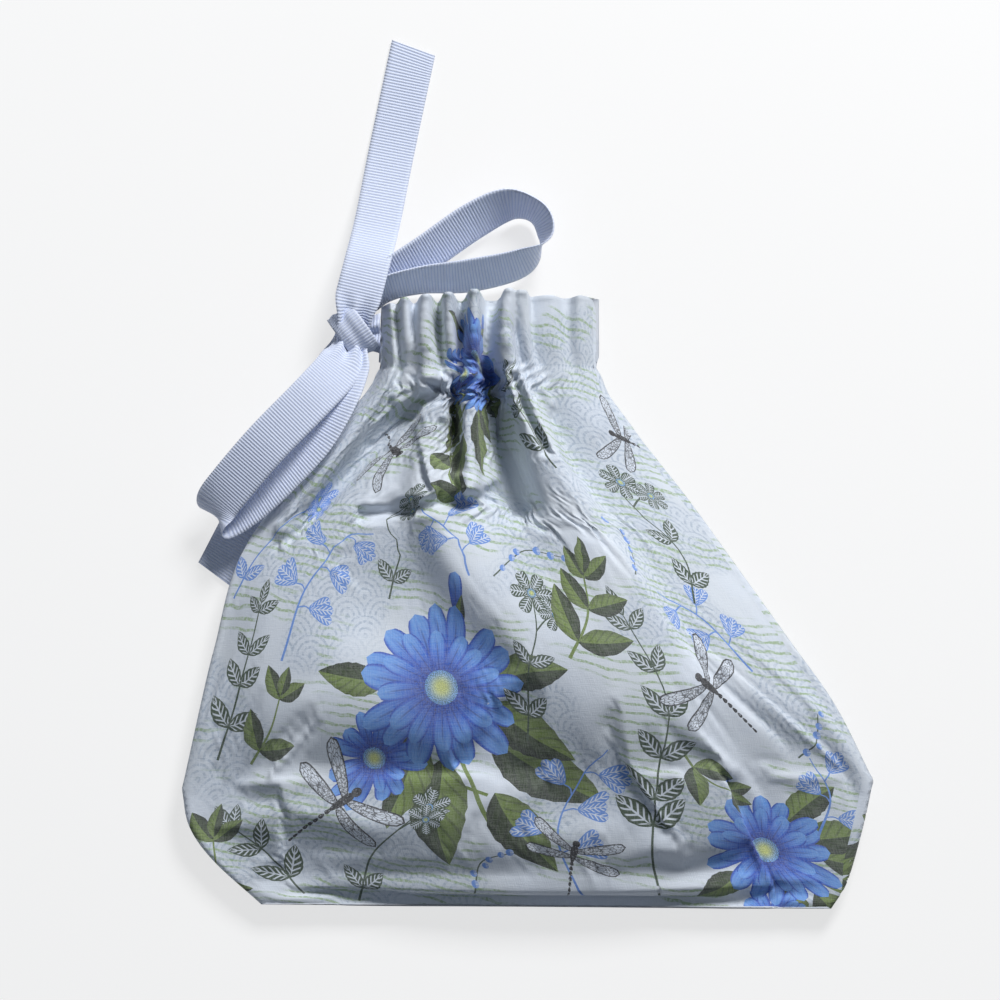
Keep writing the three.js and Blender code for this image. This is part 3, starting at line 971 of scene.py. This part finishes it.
def crumple(flat):  # fine unevenness of drawn-up cotton, strongest at the stitch line
    u, v = flat[:, 0], flat[:, 1]
    nearStitch = np.exp(-((v - stitchAlong) / cloth["crumpleReach"]) ** 2)
    waves = np.sin(0.9 * u + 1.3 * np.sin(0.21 * v)) * np.sin(0.37 * v + 0.8 * np.sin(0.33 * u))
    finer = np.sin(1.7 * u + 2 * np.sin(0.4 * v)) * np.sin(0.8 * v)
    dip = cloth["stitchDip"] * np.exp(-((v - stitchAlong) / cloth["stitchWidth"]) ** 2)
    return cloth["crumple"] * nearStitch * (waves + 0.5 * finer) - dip


def buildPanel(name, front, shapes, step):
    edge = cutEdge(step)
    crease = np.zeros((0, 2)) if front else turnLine()
    clear = np.vstack([crease] + [shape["outline"] for shape in shapes])
    inside = np.vstack([fillPoints(step, clear), crease])
    flat, triangles, tops = triangulate(edge, inside, shapes)
    place, normal = panelPlace(flat, front)
    place = place + normal * crumple(flat)[:, None]

    rim = rimLoop(triangles)
    innerEdge = flat[rim]
    innerFill = fillPoints(cloth["innerStep"], np.vstack([innerEdge, crease]))
    innerFill = np.vstack([innerFill, crease])
    innerFlat, innerTriangles, _ = triangulate(innerEdge, innerFill, [])
    innerPlace, innerNormal = panelPlace(innerFlat, front)
    innerPlace = innerPlace - innerNormal * pouch["thickness"]

    outerCount = len(flat)
    points = np.vstack([place, innerPlace])
    innerRim = outerCount + np.arange(len(rim))
    ring = np.stack([np.roll(rim, -1), rim, innerRim, np.roll(innerRim, -1)], axis=-1)
    faces = triangles.tolist() + (innerTriangles[:, ::-1] + outerCount).tolist() + ring.tolist()
    piece = addMesh(name, points, faces)
    mesh = piece.data

    names = list(clothColours)
    finish = np.full(len(faces), names.index("clothReverse"))
    finish[:len(triangles)] = names.index("cottonGround")
    motif = np.tile(bareMotif, (len(mesh.loops), 1))
    for index in np.unique(tops[tops >= 0]):
        chosen = np.nonzero(tops == index)[0]
        finish[chosen] = names.index(shapes[index]["finish"])
        corners = (chosen[:, None] * 3 + np.arange(3)).ravel()
        motif[corners] = localUv(shapes[index], flat[triangles[chosen].ravel()])
    for cover in names:
        mesh.materials.append(finishes[cover])
    mesh.polygons.foreach_set("material_index", finish.astype(np.int32))
    addUv(piece, "cutUv", perVertex=np.vstack([flat, innerFlat]))
    addUv(piece, "motifUv", perLoop=motif)
    mesh.normals_split_custom_set_from_vertices(np.vstack([normal, -innerNormal]).tolist())
    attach(piece, "root")
    print("%s cut, %d faces" % (name, len(faces)))
    return piece


# Finishes
def tint(red, green, blue):  # screen colour to linear light
    def linear(c):
        c = c / 255
        return c / 12.92 if c <= 0.04045 else ((c + 0.055) / 1.055) ** 2.4

    return (linear(red), linear(green), linear(blue), 1)


def operator(operation, swapped=False):
    return lambda wire, other: wire.maths(operation, other, swapped)


class Wire:
    __add__ = __radd__ = operator("ADD")
    __mul__ = __rmul__ = operator("MULTIPLY")
    __sub__ = operator("SUBTRACT")
    __rsub__ = operator("SUBTRACT", True)
    __truediv__ = operator("DIVIDE")
    __rtruediv__ = operator("DIVIDE", True)

    def __init__(self, board, socket):
        self.board = board
        self.socket = socket

    def maths(self, operation, other=0.0, swapped=False):
        first, second = (other, self) if swapped else (self, other)
        return self.board.node("ShaderNodeMath", {"operation": operation}, {0: first, 1: second})

    def step(self, low, high):  # soft threshold from 0 to 1
        return self.board.node("ShaderNodeMapRange", {"interpolation_type": "SMOOTHSTEP"},
                               {"Value": self, "From Min": low, "From Max": high})


class Board:
    def __init__(self, name):
        self.material = bpy.data.materials.new(name)
        self.material.use_nodes = True
        self.tree = self.material.node_tree
        self.tree.nodes.clear()

    def node(self, kind, settings=None, inputs=None, output=0):
        made = self.tree.nodes.new(kind)
        setAll(made, settings or {})
        for key, value in (inputs or {}).items():
            if isinstance(value, Wire):
                self.tree.links.new(value.socket, made.inputs[key])
            else:
                made.inputs[key].default_value = value
        return Wire(self, made.outputs[output]) if made.outputs else None

    def uv(self, name):
        place = self.node("ShaderNodeUVMap", {"uv_map": name})
        along = self.node("ShaderNodeSeparateXYZ", {}, {0: place})
        across = self.node("ShaderNodeSeparateXYZ", {}, {0: place}, 1)
        return place, along, across

    def noise(self, place, stretch, detail=2.0):
        spread = self.node("ShaderNodeVectorMath", {"operation": "MULTIPLY"}, {0: place, 1: stretch})
        return self.node("ShaderNodeTexNoise", {}, {"Vector": spread, "Scale": 1.0, "Detail": detail})

    def mix(self, factor, first, second):
        return self.node("ShaderNodeMix", {"data_type": "RGBA"}, {0: factor, 6: first, 7: second}, 2)

    def finish(self, inputs, height, depth, strength):
        bump = self.node("ShaderNodeBump", {}, {"Height": height, "Distance": depth, "Strength": strength})
        surface = self.node("ShaderNodeBsdfPrincipled", {}, {**inputs, "Normal": bump})
        self.node("ShaderNodeOutputMaterial", {}, {"Surface": surface})
        return self.material


ink = {
    "ground": tint(214, 222, 234),
    "groundWarm": tint(207, 213, 218),
    "tone": tint(152, 168, 188),
    "mist": tint(142, 170, 120),
    "petalDeep": tint(10, 28, 110),
    "petalMid": tint(34, 88, 194),
    "petalPale": tint(108, 162, 232),
    "heart": tint(206, 214, 130),
    "heartDark": tint(56, 84, 60),
    "leafDark": tint(14, 24, 16),
    "leafMid": tint(50, 70, 32),
    "leafPale": tint(118, 140, 66),
    "green": tint(44, 68, 44),
    "blue": tint(92, 138, 214),
    "black": tint(20, 21, 30),
    "reverse": tint(206, 211, 220),
    "ribbon": tint(216, 224, 244),
    # painted shade: a darker blue laid into the ribbon's rib grooves
    "ribbonGrooveShade": tint(166, 181, 220),
    "ribbonFibre": tint(236, 240, 250),
    "ribbonSoil": tint(190, 198, 220),
}


def weave(board, place):  # thread unevenness both ways, as height and as shade
    warp = board.noise(place, (2.6, 0.22, 1), 1.0)
    weft = board.noise(place, (0.22, 2.6, 1), 1.0)
    grain = board.noise(place, (1.9, 1.9, 1), 3.0)
    return warp * 0.4 + weft * 0.4 + grain * 0.35


def clothFinish(name, colourOf):
    board = Board(name)
    place, u, v = board.uv("cutUv")
    threads = weave(board, place)
    colour = colourOf(board, place, u, v)
    shade = threads.step(0.3, 0.85)
    colour = board.mix(shade * 0.16, colour, (1, 1, 1, 1))
    worn = board.noise(place, (0.03, 0.03, 1), 2.0).step(0.35, 0.7)
    colour = board.mix(worn * 0.06, colour, ink["groundWarm"])
    inputs = {"Base Color": colour, "Roughness": 0.78 + threads * 0.14, "Sheen Weight": 0.18,
              "Sheen Roughness": 0.5, "Specular IOR Level": 0.25}
    return board.finish(inputs, threads, 0.0004, 0.35)


def groundColour(board, place, u, v):
    # pale cotton with tonal scallops, faint green hatching and the casing's stitches
    wander = board.noise(place, (0.035, 0.035, 1), 3.0)
    row = (v / 7).maths("FLOOR")
    shift = (row * 0.5).maths("FRACT")
    cell = (u / 14 + shift).maths("FRACT") - 0.5
    rise = (v / 7).maths("FRACT")
    away = (cell * cell * 4 + rise * rise).maths("SQRT")
    rings = (away * 20).maths("SINE").step(0.1, 0.6)
    broken = board.noise(place, (0.9, 0.9, 1), 2.0).step(0.42, 0.58)
    toneArea = board.noise(place, (0.017, 0.02, 1), 1.0).step(0.47, 0.54)
    colour = board.mix(wander.step(0.3, 0.7) * 0.5, ink["ground"], ink["groundWarm"])
    colour = board.mix(toneArea * (rings * 0.5 + 0.25) * (0.45 + broken * 0.55), colour, ink["tone"])
    lines = (v * 1.9 + u * 0.35 + wander * 22).maths("SINE").step(0.35, 0.8)
    patches = board.noise(place, (0.03, 0.045, 5), 2.0).step(0.47, 0.56)
    colour = board.mix(patches * lines * (0.4 + broken * 0.5), colour, ink["mist"])
    onLine = ((v - stitchAlong).maths("ABSOLUTE")).step(0.45, 0.25)
    dash = (u * 2.4).maths("SINE").step(-0.2, 0.1)
    return board.mix(onLine * dash * 0.5, colour, ink["tone"])


def spine(board):
    _, a, b = board.uv("motifUv")
    return a, b, b.maths("ABSOLUTE")


def petalColour(board, place, u, v):
    a, b, side = spine(board)
    streakPlace = board.node("ShaderNodeCombineXYZ", {}, {0: a * 1.6, 1: b * 3.2})
    streaks = board.noise(streakPlace, (1, 2.2, 1), 3.0)
    speckle = board.noise(place, (1.5, 1.5, 1), 2.0).step(0.48, 0.56)
    light = (a * 0.75 + streaks * 0.7 - 0.35 - side.step(0.6, 1.0) * 0.45).step(0.12, 0.85)
    colour = board.mix(light, ink["petalMid"], ink["petalPale"])
    deep = (1 - a.step(0.1, 0.55)) * 0.8 + side.step(0.8, 1.0) * 0.45
    colour = board.mix(deep * (0.45 + speckle * 0.55), colour, ink["petalDeep"])
    crease = (1 - side.step(0.0, 0.16)) * (1 - a.step(0.6, 0.9))
    return board.mix(crease * 0.55, colour, ink["petalDeep"])


def heartColour(board, place, u, v):
    a, b, _ = spine(board)
    out = (a * a + b * b).maths("SQRT")
    speckle = board.noise(place, (2.6, 2.6, 1), 1.0).step(0.45, 0.55)
    colour = board.mix(out.step(0.2, 1.0), ink["heart"], ink["petalPale"])
    return board.mix(speckle * (0.25 + out * 0.6), colour, ink["heartDark"])


def leafColour(board, place, u, v):
    a, b, side = spine(board)
    inside = 1 - side.step(1.5, 2.0)
    ribs = ((a * 7 - side * 1.6) * math.tau).maths("SINE").step(0.5, 0.95)
    speckle = board.noise(place, (1.7, 1.7, 1), 3.0).step(0.46, 0.56)
    half = b.step(-0.08, 0.08)
    colour = board.mix(half * 0.75 + speckle * 0.2, ink["leafMid"], ink["leafPale"])
    dark = side.step(0.35, 1.0) * 0.55 + (1 - half) * 0.55
    colour = board.mix(dark * (0.35 + speckle * 0.6) * inside, colour, ink["leafDark"])
    colour = board.mix(ribs * inside * 0.4, colour, ink["leafDark"])
    middle = (1 - side.step(0.02, 0.07)) * inside
    return board.mix(middle * 0.8, colour, ink["leafPale"])


def blockColour(board, tone):
    # block-printed leaf: solid edge, pale cut veins
    a, _, side = spine(board)
    inside = 1 - side.step(1.2, 2.0)
    cuts = ((a * 6 - side * 1.4) * math.tau).maths("SINE").step(0.3, 0.62) * (1 - side.step(0.7, 0.86))
    middle = 1 - side.step(0.05, 0.12)
    bare = cuts.maths("MAXIMUM", middle) * inside * a.step(0.04, 0.16)
    return board.mix(bare * 0.92, tone, ink["ground"])


def inkColour(board, place, u, v):
    dry = board.noise(place, (1.4, 1.4, 1), 3.0).step(0.6, 0.68)
    return board.mix(dry * 0.55, ink["black"], ink["ground"])


def wingColour(board, place, u, v):
    a, b, _ = spine(board)
    cellPlace = board.node("ShaderNodeCombineXYZ", {}, {0: a * 9, 1: b * 2.4})
    cells = board.node("ShaderNodeTexVoronoi", {"feature": "DISTANCE_TO_EDGE"},
                       {"Vector": cellPlace, "Scale": 1.0})
    veins = 1 - cells.step(0.04, 0.1)
    shade = board.noise(place, (1.3, 1.3, 1), 2.0).step(0.42, 0.58) * (1 - a.step(0.2, 0.8))
    colour = board.mix(veins * 0.85, ink["ground"], ink["black"])
    return board.mix(shade * 0.7, colour, ink["black"])


def reverseColour(board, place, u, v):
    ghost = board.noise(place, (0.05, 0.05, 1), 3.0).step(0.45, 0.6)
    return board.mix(ghost * 0.35, ink["reverse"], ink["tone"])


# a panel's finishes in the order of its material slots
clothColours = {
    "cottonGround": groundColour,
    "bluePetal": petalColour,
    "bloomHeart": heartColour,
    "oliveLeaf": leafColour,
    "greenBlock": lambda board, place, u, v: blockColour(board, ink["green"]),
    "blueBlock": lambda board, place, u, v: blockColour(board, ink["blue"]),
    "inkLine": inkColour,
    "inkWing": wingColour,
    "clothReverse": reverseColour,
}
finishes = {name: clothFinish(name, colourOf) for name, colourOf in clothColours.items()}


def ribbonFinish():
    board = Board("grosgrain")
    place, along, across = board.uv("ribbonUv")
    ribs = (along * (math.tau / ribbon["ribPitch"])).maths("COSINE")
    edge = across.maths("ABSOLUTE").step(*ribbon["edgeFinish"])
    fibres = board.noise(place, (0.6, 5.0, 1), 2.0)
    soil = board.noise(place, (0.04, 0.1, 1), 2.0)
    # painted shade: the rib grooves are mixed toward a darker blue, less on the plain edges, on top of the
    # real rib bumps
    grooveShade = ribs.step(0.1, 0.95) * (1 - edge * 0.8)
    colour = board.mix(grooveShade * 0.6, ink["ribbon"], ink["ribbonGrooveShade"])
    colour = board.mix(fibres.step(0.35, 0.75) * 0.25, colour, ink["ribbonFibre"])
    colour = board.mix(soil.step(0.5, 0.75) * 0.12, colour, ink["ribbonSoil"])
    inputs = {"Base Color": colour, "Roughness": 0.5 + fibres * 0.25, "Sheen Weight": 0.2,
              "Sheen Roughness": 0.4, "Specular IOR Level": 0.35}
    return board.finish(inputs, fibres * 0.5 - ribs * 0.5 + edge * 0.3, 0.0002, 0.5)


finishes["grosgrain"] = ribbonFinish()
for piece in (upperRibbon, lowerRibbon, knotPiece):
    piece.data.materials.append(finishes["grosgrain"])
print("finishes mixed")


# Panels
frontPanel = buildPanel("frontPanel", True, drawPrint(frontPrint), cloth["frontStep"])
backPanel = buildPanel("backPanel", False, drawPrint(backPrint), cloth["backStep"])
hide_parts("front_panel")
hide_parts("back_panel")


# Ribbon run in the casing
casingRun = {
    "shares": (-0.98, -0.9, -0.75, -0.5, -0.1, 0.3, 0.58, 0.74, 0.82),
    "turn": 0.86,
    "under": 1.1,  # below the valleys of the gathers
    "down": 1.8,  # away from the mouth edge
    "crushed": 0.84,
}


def runRibbon():
    neckLeft, neckRight = leftRows[-1][0], rightRows[-1][0]
    middle = (neckLeft + neckRight) / 2
    half = (neckRight - neckLeft) / 2
    seam = pouch["seamHeights"][-1]
    y = ribbon["knot"][1]
    shares = np.array(casingRun["shares"])
    runs = []
    for side in (1, -1):
        run = np.zeros((len(shares), 6))
        run[:, 0] = middle + shares * half
        run[:, 1] = y - casingRun["down"] * edgeFade(shares)
        run[:, 2] = neckBase(shares, side) - side * casingRun["under"]
        run[:, 4] = 1
        runs.append(run)
    turn = (middle + casingRun["turn"] * half, runs[0][-1, 1], seam, 0, 1, 0)
    stops = np.vstack([runs[0], turn, runs[1][::-1]])
    line = curveThrough(stops, ribbon["casingSteps"])
    piece = ribbonMesh("ribbonInCasing", line, np.full(len(line), casingRun["crushed"]))
    piece.data.materials.append(finishes["grosgrain"])
    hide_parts("ribbon_in_casing")


runRibbon()
print("ribbon run through the casing")


# Table, light and background
studio = {
    "keyPlace": (0.45, 1.1, 0.92),
    "keySize": 0.46,
    "keyPower": 23,
    "fillPlace": (-0.7, -0.3, 0.8),
    "fillSize": 0.9,
    "fillPower": 0.6,
    "sky": (0.74, 0.85, 1.0, 1),
    "skyStrength": 0.15,
    "tableSize": 6,
    "tableHeight": -0.0004,
    "tableColour": (0.9, 0.9, 0.9, 1),
    "tableWhite": 0.7,  # share of plain white the camera sees on the table
}


def addLamp(name, place, size, power):
    bpy.ops.object.light_add(type="AREA", location=place)
    lamp = bpy.context.object
    lamp.name = name
    lamp.data.size = size
    lamp.data.energy = power
    lamp.rotation_euler = (-Vector(place)).to_track_quat("-Z", "Y").to_euler()


def setStudio():
    bpy.ops.mesh.primitive_plane_add(size=studio["tableSize"], location=(0, 0, studio["tableHeight"]))
    table = bpy.context.object
    table.name = "table"
    bpy.ops.object.transform_apply(location=True)
    board = Board("tableTop")
    ray = board.node("ShaderNodeLightPath")
    glossy = board.node("ShaderNodeLightPath", {}, {}, 3)
    through = board.node("ShaderNodeLightPath", {}, {}, 6)
    seen = ray.maths("MAXIMUM", glossy).maths("MAXIMUM", through)
    plain = board.node("ShaderNodeBsdfDiffuse", {}, {"Color": studio["tableColour"]})
    white = board.node("ShaderNodeEmission", {}, {"Color": (1, 1, 1, 1), "Strength": 1.0})
    both = board.node("ShaderNodeMixShader", {}, {0: seen * studio["tableWhite"], 1: plain, 2: white})
    board.node("ShaderNodeOutputMaterial", {}, {"Surface": both})
    table.data.materials.append(board.material)
    addLamp("keyLamp", studio["keyPlace"], studio["keySize"], studio["keyPower"])
    addLamp("fillLamp", studio["fillPlace"], studio["fillSize"], studio["fillPower"])
    world = bpy.data.worlds.new("studioSky")
    world.use_nodes = True
    sky = world.node_tree.nodes["Background"]
    sky.inputs["Color"].default_value = studio["sky"]
    sky.inputs["Strength"].default_value = studio["skyStrength"]
    bpy.context.scene.world = world
    bpy.context.scene.view_settings.view_transform = "Standard"


setStudio()
print("studio set")
